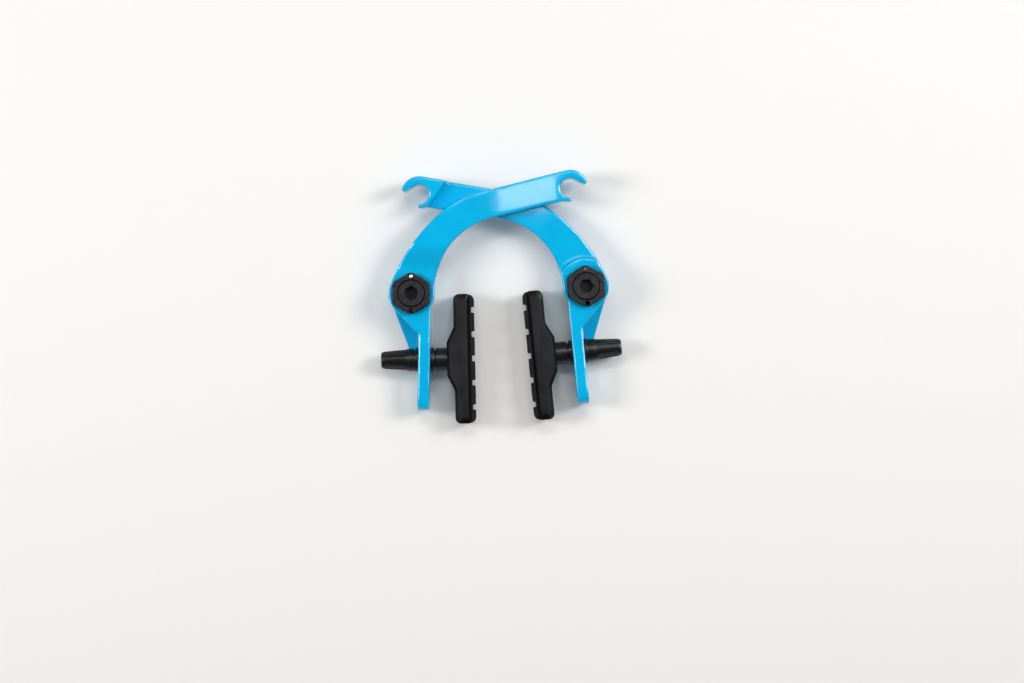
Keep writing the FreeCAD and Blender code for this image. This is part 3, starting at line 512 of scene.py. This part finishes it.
def swept_wire_tree():
    """Node tree that gives a path a round section, closed ends and a finish."""
    tree = bpy.data.node_groups.new("wire along a path", "GeometryNodeTree")
    sockets = tree.interface
    sockets.new_socket("Path", in_out="INPUT", socket_type="NodeSocketGeometry")
    for name, kind, value in (
        ("Wire radius", "NodeSocketFloat", 0.8 * MM), ("Sides", "NodeSocketInt", 16)
    ):
        sockets.new_socket(name, in_out="INPUT", socket_type=kind).default_value = value
    sockets.new_socket("Finish", in_out="INPUT", socket_type="NodeSocketMaterial")
    sockets.new_socket("Wire", in_out="OUTPUT", socket_type="NodeSocketGeometry")
    given = add(tree, "NodeGroupInput").outputs
    section = add(
        tree, "GeometryNodeCurvePrimitiveCircle",
        {"Resolution": given["Sides"], "Radius": given["Wire radius"]},
    )
    line = add(tree, "GeometryNodeSetCurveNormal", {"Curve": given["Path"]})
    wire = add(
        tree, "GeometryNodeCurveToMesh",
        {"Curve": line.outputs[0], "Profile Curve": section.outputs[0], "Fill Caps": True},
    )
    smooth = add(tree, "GeometryNodeSetShadeSmooth", {"Geometry": wire.outputs[0]})
    real = add(tree, "GeometryNodeRealizeInstances", {0: smooth.outputs[0]})
    finish = add(
        tree, "GeometryNodeSetMaterial",
        {"Geometry": real.outputs[0], "Material": given["Finish"]},
    )
    add(tree, "NodeGroupOutput", {0: finish.outputs[0]})
    return tree


def nut_rib_tree():
    """Node tree of equal ribs along a cone about the x axis, turned round it one by one."""
    tree = bpy.data.node_groups.new("ribs along a cone", "GeometryNodeTree")
    sockets = tree.interface
    for name in ("Start", "End"):
        sockets.new_socket(name, in_out="INPUT", socket_type="NodeSocketVector")
    for name, kind, value in (
        ("Count", "NodeSocketInt", 10), ("Rib radius", "NodeSocketFloat", 0.5 * MM)
    ):
        sockets.new_socket(name, in_out="INPUT", socket_type=kind).default_value = value
    sockets.new_socket("Finish", in_out="INPUT", socket_type="NodeSocketMaterial")
    sockets.new_socket("Ribs", in_out="OUTPUT", socket_type="NodeSocketGeometry")
    given = add(tree, "NodeGroupInput").outputs
    line = add(
        tree, "GeometryNodeCurvePrimitiveLine", {"Start": given["Start"], "End": given["End"]}
    )
    section = add(
        tree, "GeometryNodeCurvePrimitiveCircle",
        {"Resolution": 12, "Radius": given["Rib radius"]},
    )
    rib = add(
        tree, "GeometryNodeCurveToMesh",
        {"Curve": line.outputs[0], "Profile Curve": section.outputs[0], "Fill Caps": True},
    )
    spots = add(tree, "GeometryNodePoints", {"Count": given["Count"]})
    step = add(tree, "ShaderNodeMath", {0: 2 * math.pi, 1: given["Count"]}, operation="DIVIDE")
    number = add(tree, "GeometryNodeInputIndex")
    angle = add(
        tree, "ShaderNodeMath", {0: number.outputs[0], 1: step.outputs[0]}, operation="MULTIPLY"
    )
    turn = add(tree, "ShaderNodeCombineXYZ", {"X": angle.outputs[0]})
    ring = add(
        tree, "GeometryNodeInstanceOnPoints",
        {"Points": spots.outputs[0], "Instance": rib.outputs[0], "Rotation": turn.outputs[0]},
    )
    real = add(tree, "GeometryNodeRealizeInstances", {0: ring.outputs[0]})
    finish = add(
        tree, "GeometryNodeSetMaterial",
        {"Geometry": real.outputs[0], "Material": given["Finish"]},
    )
    add(tree, "NodeGroupOutput", {0: finish.outputs[0]})
    return tree


def grown(name, guide, tree, values):
    """A piece with the plain mesh that a node tree makes of a guide, which is then removed."""
    bpy.context.scene.collection.objects.link(guide)
    steps = guide.modifiers.new("steps", "NODES")
    steps.node_group = tree
    for socket in tree.interface.items_tree:
        if socket.in_out == "INPUT" and socket.name in values:
            steps[socket.identifier] = values[socket.name]
    seen = guide.evaluated_get(bpy.context.evaluated_depsgraph_get())
    mesh = bpy.data.meshes.new_from_object(seen)
    bpy.data.objects.remove(guide)
    piece = bpy.data.objects.new(name, mesh)
    bpy.context.scene.collection.objects.link(piece)
    return piece


def swept_wire(name, tree, points, where, radius, sides, finish):
    """A piece of wire or thread along points in millimetres, turned and moved by where."""
    path = bpy.data.curves.new(name + "_path", "CURVE")
    path.dimensions = "3D"
    line = path.splines.new("POLY")
    line.points.add(len(points) - 1)
    for spot, point in zip(line.points, points):
        spot.co = (*(where @ (Vector(point) * MM)), 1)
    guide = bpy.data.objects.new(name + "_path", path)
    values = {"Wire radius": radius * MM, "Sides": sides, "Finish": finish}
    return grown(name, guide, tree, values)


def nut_ribs(name, tree, nut, along, settings, finish):
    """Ribs along a pad's tapered nut, sunk a little into it.

    They stop short of its washer and of its rounded end.
    """
    end = min((along.inverted() @ v.co).x for v in nut.data.vertices)
    sink = RIB_SINK * MM
    values = {
        "Start": (end + RIB_START[0] * MM, 0, RIB_START[1] * MM - sink),
        "End": (end + RIB_END[0] * MM, 0, RIB_END[1] * MM - sink),
        "Count": settings.nut_ribs,
        "Rib radius": settings.nut_rib,
        "Finish": finish,
    }
    guide = bpy.data.objects.new(name + "_guide", bpy.data.meshes.new(name + "_guide"))
    piece = grown(name, guide, tree, values)
    piece.data.transform(along)
    piece.data.shade_smooth()
    piece.data.set_sharp_from_angle(angle=math.radians(40))
    return piece


def coil_points(settings, foot, tip):
    """Path of a return spring: bent foot, left-handed coil, bent tip.

    Foot and tip are the heights of its ends from the coil's start.
    """
    r, bend = settings.coil_radius / MM, settings.coil_bend / MM
    turns, pitch = settings.coil_turns, settings.coil_pitch / MM
    top = pitch * turns
    bend_steps, steps = 6, round(turns * 40)
    points = [(r, bend, foot)]
    for k in range(bend_steps + 1):
        a = math.pi / 2 * k / bend_steps
        points.append((r, bend * math.cos(a), -bend + bend * math.sin(a)))
    for k in range(1, steps + 1):
        a = -2 * math.pi * turns * k / steps
        points.append((r * math.cos(a), r * math.sin(a), top * k / steps))
    for k in range(1, bend_steps + 1):
        a = math.pi / 2 * k / bend_steps
        points.append((-r, bend * math.sin(a), top + bend * (1 - math.cos(a))))
    points.append((-r, bend, tip))
    return points


def thread_points(pitch, start, stop):
    """Helix of a screw thread along z, which fades into the rod at both ends."""
    turns = (stop - start) / pitch
    steps = round(turns * 26)
    fade_steps = 20
    points = []
    for k in range(steps + 1):
        a = 2 * math.pi * turns * k / steps
        fade = min(1, k / fade_steps, (steps - k) / fade_steps)
        r = THREAD_RADIUS - THREAD_DEPTH + THREAD_DEPTH * fade
        points.append((r * math.cos(a), r * math.sin(a), start + (stop - start) * k / steps))
    return points


class UBrakeSettings(bpy.types.PropertyGroup):
    """Sizes and colours of the finished brake."""

    enamel_colour: FloatVectorProperty(
        name="Enamel", description="Enamel on both arms",
        subtype="COLOR", size=4, min=0, max=1, default=linear("00B5E7"),
    )
    enamel_shade: FloatVectorProperty(
        name="Enamel shade", description="Where the enamel lies thicker",
        subtype="COLOR", size=4, min=0, max=1, default=linear("00AADD"),
    )
    enamel_edge: FloatVectorProperty(
        name="Enamel on edges", description="Where the enamel thins",
        subtype="COLOR", size=4, min=0, max=1, default=linear("5CCDF2"),
    )
    steel_edge: FloatVectorProperty(
        name="Rubbed steel", description="Edges of blackened steel",
        subtype="COLOR", size=4, min=0, max=1, default=linear("77747A"),
    )
    rubber_bloom: FloatVectorProperty(
        name="Rubber bloom", description="Paler clouds on the rubber",
        subtype="COLOR", size=4, min=0, max=1, default=linear("45434A"),
    )
    coil_radius: FloatProperty(
        name="Coil radius", description="Return spring, to the wire's middle",
        subtype="DISTANCE", unit="LENGTH", default=7.65 * MM,
    )
    coil_wire: FloatProperty(
        name="Spring wire", description="Radius of the spring's wire",
        subtype="DISTANCE", unit="LENGTH", default=0.8 * MM,
    )
    coil_pitch: FloatProperty(
        name="Coil pitch", description="From turn to turn",
        subtype="DISTANCE", unit="LENGTH", default=1.9 * MM,
    )
    coil_bend: FloatProperty(
        name="End bends", description="Bend radius at the spring's ends",
        subtype="DISTANCE", unit="LENGTH", default=1.6 * MM,
    )
    coil_turns: FloatProperty(
        name="Turns", description="Turns of each return spring", default=3.5, min=1,
    )
    thread_pitch: FloatProperty(
        name="Thread pitch", description="Screw threads of posts and bolts",
        subtype="DISTANCE", unit="LENGTH", default=1.0 * MM,
    )
    nut_ribs: IntProperty(
        name="Nut ribs", description="Ribs along each pad's nut", default=10, min=3, max=20,
    )
    nut_rib: FloatProperty(
        name="Rib radius", description="Half the width of a nut's rib",
        subtype="DISTANCE", unit="LENGTH", default=0.55 * MM,
    )
    pad_chamfer: FloatProperty(
        name="Pad chamfer", description="Chamfer round the pad's front and rear",
        subtype="DISTANCE", unit="LENGTH", default=1.3 * MM,
    )
    pad_grooves: IntProperty(
        name="Grooves", description="Grooves across the friction face", default=5, min=0, max=9,
    )


class UBRAKE_OT_stage(bpy.types.Operator):
    """Floor, soft lights and the camera above the brake"""

    bl_idname = "ubrake.stage"
    bl_label = "Stage"

    def floor(self, scene):
        """A pale floor just under the brake, which keeps its shadow."""
        mesh = bpy.data.meshes.new("floor")
        mesh.from_pydata([(-3, -3, 0), (3, -3, 0), (3, 3, 0), (-3, 3, 0)], [], [(0, 1, 2, 3)])
        floor = bpy.data.objects.new("floor", mesh)
        floor.location.z = -0.05 * MM
        scene.collection.objects.link(floor)
        material, tree = new_material("pale paper floor")
        paper, output = finish_material(tree, linear("EDEBE8"), 0.9, None)
        # Far from the brake, past the lamps' reach, the floor shows its own pale colour to the
        # eye and to gloss. It starts to at one distance in metres, and does so fully at another.
        lit, unlit = 0.28, 0.85
        seen = add(tree, "ShaderNodeLightPath").outputs
        looks = add(
            tree, "ShaderNodeMath", {0: seen["Is Camera Ray"], 1: seen["Is Glossy Ray"]},
            operation="MAXIMUM",
        )
        place = add(tree, "ShaderNodeTexCoord").outputs["Object"]
        reach = add(tree, "ShaderNodeVectorMath", {0: place}, operation="LENGTH")
        far = add(
            tree, "ShaderNodeMapRange", {"Value": reach.outputs["Value"], 1: lit, 2: unlit},
            interpolation_type="SMOOTHSTEP",
        )
        share = add(
            tree, "ShaderNodeMath", {0: looks.outputs[0], 1: far.outputs[0]},
            operation="MULTIPLY",
        )
        glow = add(tree, "ShaderNodeEmission", {"Color": linear("ECEBEA"), "Strength": 1.0})
        both = add(
            tree, "ShaderNodeMixShader",
            {0: share.outputs[0], 1: paper.outputs[0], 2: glow.outputs[0]},
        )
        tree.links.new(both.outputs[0], output.inputs["Surface"])
        give(floor, material)

    def room(self, scene):
        """A soft room that reflections see dimmer than diffuse light does, as between softboxes.

        The camera sees it pale.
        """
        diffuse, glossy, camera = 0.34, 0.10, 0.90
        world = bpy.data.worlds.new("soft room")
        scene.world = world
        world.use_nodes = True
        tree = world.node_tree
        tree.nodes.clear()
        seen = add(tree, "ShaderNodeLightPath").outputs
        dim = add(
            tree, "ShaderNodeMapRange", {"Value": seen["Is Glossy Ray"], 3: diffuse, 4: glossy}
        )
        pale = add(
            tree, "ShaderNodeMapRange",
            {"Value": seen["Is Camera Ray"], 3: dim.outputs[0], 4: camera},
        )
        sky = add(
            tree, "ShaderNodeBackground",
            {"Color": linear("F6F6F8"), "Strength": pale.outputs[0]},
        )
        add(tree, "ShaderNodeOutputWorld", {0: sky.outputs[0]})

    def lamps(self, scene):
        """The lamps, each aimed at the brake, but the window straight down.

        A highlight lamp draws only the bright lines along glossy edges, and adds nothing to the
        plain light.
        """
        for name, spot, size, energy in LAMPS:
            lamp = bpy.data.lights.new(name, "AREA")
            lamp.shape = "RECTANGLE"
            lamp.size, lamp.size_y = size
            lamp.energy = energy
            holder = bpy.data.objects.new(name, lamp)
            holder.location = spot
            down = Vector((0, 0, -1))
            aim = down if "camera" in name else Vector((0, -0.01, 0)) - Vector(spot)
            holder.visible_diffuse = "highlight" not in name
            holder.rotation_euler = aim.to_track_quat("-Z", "Y").to_euler()
            scene.collection.objects.link(holder)

    def camera(self, scene):
        """The camera, straight above the brake."""
        lens = bpy.data.cameras.new("camera")
        lens.sensor_width = SENSOR_MM
        lens.lens = SENSOR_MM * CAMERA_REACH / PICTURE_WIDTH
        lens.clip_start, lens.clip_end = 0.01, 20
        camera = bpy.data.objects.new("camera", lens)
        camera.location = CAMERA_PLACE
        camera.rotation_euler = (0, 0, CAMERA_TURN)
        scene.collection.objects.link(camera)
        scene.camera = camera

    def execute(self, context):
        context.scene.view_settings.view_transform = "Standard"
        self.floor(context.scene)
        self.room(context.scene)
        self.lamps(context.scene)
        self.camera(context.scene)
        return {"FINISHED"}


class UBRAKE_OT_arms(bpy.types.Operator):
    """Enamels both arms"""

    bl_idname = "ubrake.arms"
    bl_label = "Arms"

    def execute(self, context):
        settings = context.scene.ubrake
        for side, _ in SIDES:
            pivot = joints[side + "_arm_turn"]["pos_m"]
            coat = enamel(settings, side + " sky blue enamel on forged aluminium", pivot)
            give(nodes[side + "_arm"], coat)
        return {"FINISHED"}


class UBRAKE_OT_pivots(bpy.types.Operator):
    """Finishes the flanges, bolts and bushes at the pivots, and threads the bolts"""

    bl_idname = "ubrake.pivots"
    bl_label = "Pivots"

    def execute(self, context):
        settings = context.scene.ubrake
        # Sintered bronze looks a dull golden brown, from the oil in its pores.
        bronze = plated("sintered bronze bush", "8A5E2C", "B5854A", 0.42, 1.0, 0.4 * MM, (1, 1, 1))
        tree = swept_wire_tree()
        for side, _ in SIDES:
            centre = joints[side + "_arm_turn"]["pos_m"]
            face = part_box(side + "_pivot_bolt")[1].z
            flange = turned_steel(
                settings, side + " black oxide flange", centre,
                "201E22", "2C2A2F", 0.42, 0.35 * MM, face,
            )
            head = turned_steel(
                settings, side + " black oxide bolt", centre,
                "1C1B1E", "262529", 0.46, 0.30 * MM, face,
            )
            give(nodes[side + "_spring_adjuster"], flange)
            give(nodes[side + "_pivot_bolt"], head)
            give(nodes[side + "_arm_bush"], bronze)
            where = Matrix.Translation(centre)
            points = thread_points(settings.thread_pitch / MM, *BOLT_THREAD)
            thread = swept_wire(side + "_bolt_thread", tree, points, where, THREAD_WIRE, 6, head)
            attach(thread, "pivots")
        return {"FINISHED"}


class UBRAKE_OT_springs(bpy.types.Operator):
    """Winds the two return springs"""

    bl_idname = "ubrake.springs"
    bl_label = "Return springs"

    def execute(self, context):
        settings = context.scene.ubrake
        streaks, along = 0.25 * MM, (1, 1, 0.15)
        steels = {
            # Drawn wire is bright and warm, with fine streaks; the left one is painted brighter as
            # a painted highlight.
            "left": plated("drawn spring steel, painted highlight", "E2D8BC", "F6EED8", 0.40, 0.8, streaks, along),
            # The right spring's wire is painted a dark brown grey as painted shade.
            "right": plated(
                "spring steel in painted shade", "4A4244", "6A6062", 0.45, 0.8, streaks, along
            ),
        }
        tree = swept_wire_tree()
        end = math.degrees(math.atan(settings.coil_bend / settings.coil_radius))
        for side, way in SIDES:
            steel = steels[side]
            low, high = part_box(side + "_return_spring")
            start = low.z / MM + SPRING_FOOT
            points = coil_points(settings, -SPRING_FOOT, high.z / MM - start)
            if way < 0:
                points = [(-x, y, z) for x, y, z in points]
            turn = math.radians(HOLE_TURN[side] - way * (90 - end))
            x, y, _ = joints[side + "_arm_turn"]["pos_m"]
            where = Matrix.Translation((x, y, start * MM)) @ Matrix.Rotation(turn, 4, "Z")
            wire = settings.coil_wire / MM
            spring = swept_wire(side + "_coil_spring", tree, points, where, wire, 16, steel)
            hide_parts(side + "_return_spring")
            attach(spring, side + "_adjuster")
        return {"FINISHED"}


class UBRAKE_OT_posts(bpy.types.Operator):
    """Finishes posts, washers and nuts, threads the posts and ribs the nuts"""

    bl_idname = "ubrake.posts"
    bl_label = "Posts, washers and nuts"

    def execute(self, context):
        settings = context.scene.ubrake
        # Zinc plate looks pale grey and evenly dull.
        zinc = plated("zinc plated steel", "8C8B86", "B4B2AA", 0.34, 1.0, 0.3 * MM, (1, 1, 1))
        # Black zinc looks almost black, with a soft sheen that is streaked by the turning.
        black = plated(
            "black zinc plated steel", "0C0C0E", "17171A", 0.33, 0.35, 0.3 * MM, (0.15, 1, 1), 0.6
        )
        dark = anodised_nut()
        tree, rib_tree = swept_wire_tree(), nut_rib_tree()
        for side, _ in SIDES:
            for part in ("inner_cup", "outer_cup", "inner_dome", "outer_dome", "flat_washer"):
                give(nodes[f"{side}_{part}"], black)
            along = post_frame(side)
            nut = nodes[side + "_pad_nut"]
            give(nut, dark)
            ribs = nut_ribs(side + "_nut_ribs", rib_tree, nut, along, settings, dark)
            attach(ribs, side + "_pad")
            give(nodes[side + "_pad_post"], zinc)
            where = along @ Matrix.Rotation(math.radians(90), 4, "Y")
            points = thread_points(settings.thread_pitch / MM, *POST_THREAD)
            thread = swept_wire(side + "_post_thread", tree, points, where, THREAD_WIRE, 6, zinc)
            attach(thread, side + "_pad")
        return {"FINISHED"}


class UBRAKE_OT_pads(bpy.types.Operator):
    """Moulds the two brake pads with their grooved friction faces"""

    bl_idname = "ubrake.pads"
    bl_label = "Brake pads"

    def execute(self, context):
        settings = context.scene.ubrake
        # Sparked rubber looks a grey black and the friction face dull. Polished rubber is smoother,
        # and is painted darker as painted shade.
        back = moulded_rubber(
            settings, "sparked black rubber", "131215", "0C0C0E", 0.62, 0.30 * MM, 0.16
        )
        polished_rubber_in_shade = moulded_rubber(
            settings, "polished black rubber in painted shade", "09090A", "0C0C0D", 0.40, 0.30 * MM, 0.05
        )
        face = moulded_rubber(
            settings, "friction rubber", "0E0E10", "08080A", 0.78, 0.22 * MM, 0.08
        )
        # How far the front and rear are drawn in from each edge of the outline, in its order.
        slope = settings.pad_chamfer / MM
        slopes = [
            slope, slope, slope + 0.2, slope + 1.1, slope - 0.3, slope + 1.1, slope + 0.2, slope
        ]
        comb = friction_outline(settings.pad_grooves)
        sides = [BLOCK_CHAMFER] * len(comb)
        for side, _ in SIDES:
            where = post_frame(side)
            moulding = mesh_piece(
                side + "_pad_moulding",
                lambda shape: moulded_block(shape, PAD_OUTLINE, PAD_HALF, slopes, slope),
                where,
            )
            block = mesh_piece(
                side + "_friction_block",
                lambda shape: moulded_block(shape, comb, BLOCK_HALF, sides, BLOCK_CHAMFER),
                where,
            )
            give(block, face)
            give(moulding, back)
            # Only the mould's two flat sides are sparked. The rest of it is polished, and painted
            # darker as painted shade on its slopes and sides.
            moulding.data.materials.append(polished_rubber_in_shade)
            for polygon in moulding.data.polygons:
                polygon.material_index = 0 if abs(polygon.normal.z) > 0.9 else 1
            for piece in (moulding, block):
                soften = piece.modifiers.new("mould radius", "BEVEL")
                soften.width = MOULD_RADIUS * MM
                soften.segments = 2
                soften.limit_method = "ANGLE"
                soften.angle_limit = math.radians(28)
                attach(piece, side + "_pad")
                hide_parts(side + "_brake_pad")
        return {"FINISHED"}


class UBRAKE_PT_panel(bpy.types.Panel):
    """The steps that finish the brake"""

    bl_label = "U Brake"
    bl_space_type = "VIEW_3D"
    bl_region_type = "UI"
    bl_category = "U Brake"

    def draw(self, context):
        for name in UBrakeSettings.__annotations__:
            self.layout.prop(context.scene.ubrake, name)
        for step in STEPS:
            self.layout.operator(step.bl_idname)


STEPS = (
    UBRAKE_OT_stage, UBRAKE_OT_arms, UBRAKE_OT_pivots,
    UBRAKE_OT_springs, UBRAKE_OT_posts, UBRAKE_OT_pads,
)


def register():
    for kind in (UBrakeSettings, *STEPS, UBRAKE_PT_panel):
        bpy.utils.register_class(kind)
    bpy.types.Scene.ubrake = PointerProperty(type=UBrakeSettings)


def unregister():
    del bpy.types.Scene.ubrake
    for kind in reversed((UBrakeSettings, *STEPS, UBRAKE_PT_panel)):
        bpy.utils.unregister_class(kind)


def main():
    """Runs every step in order."""
    register()
    bpy.ops.ubrake.stage()
    bpy.ops.ubrake.arms()
    bpy.ops.ubrake.pivots()
    bpy.ops.ubrake.springs()
    bpy.ops.ubrake.posts()
    bpy.ops.ubrake.pads()


if __name__ == "__main__":
    main()
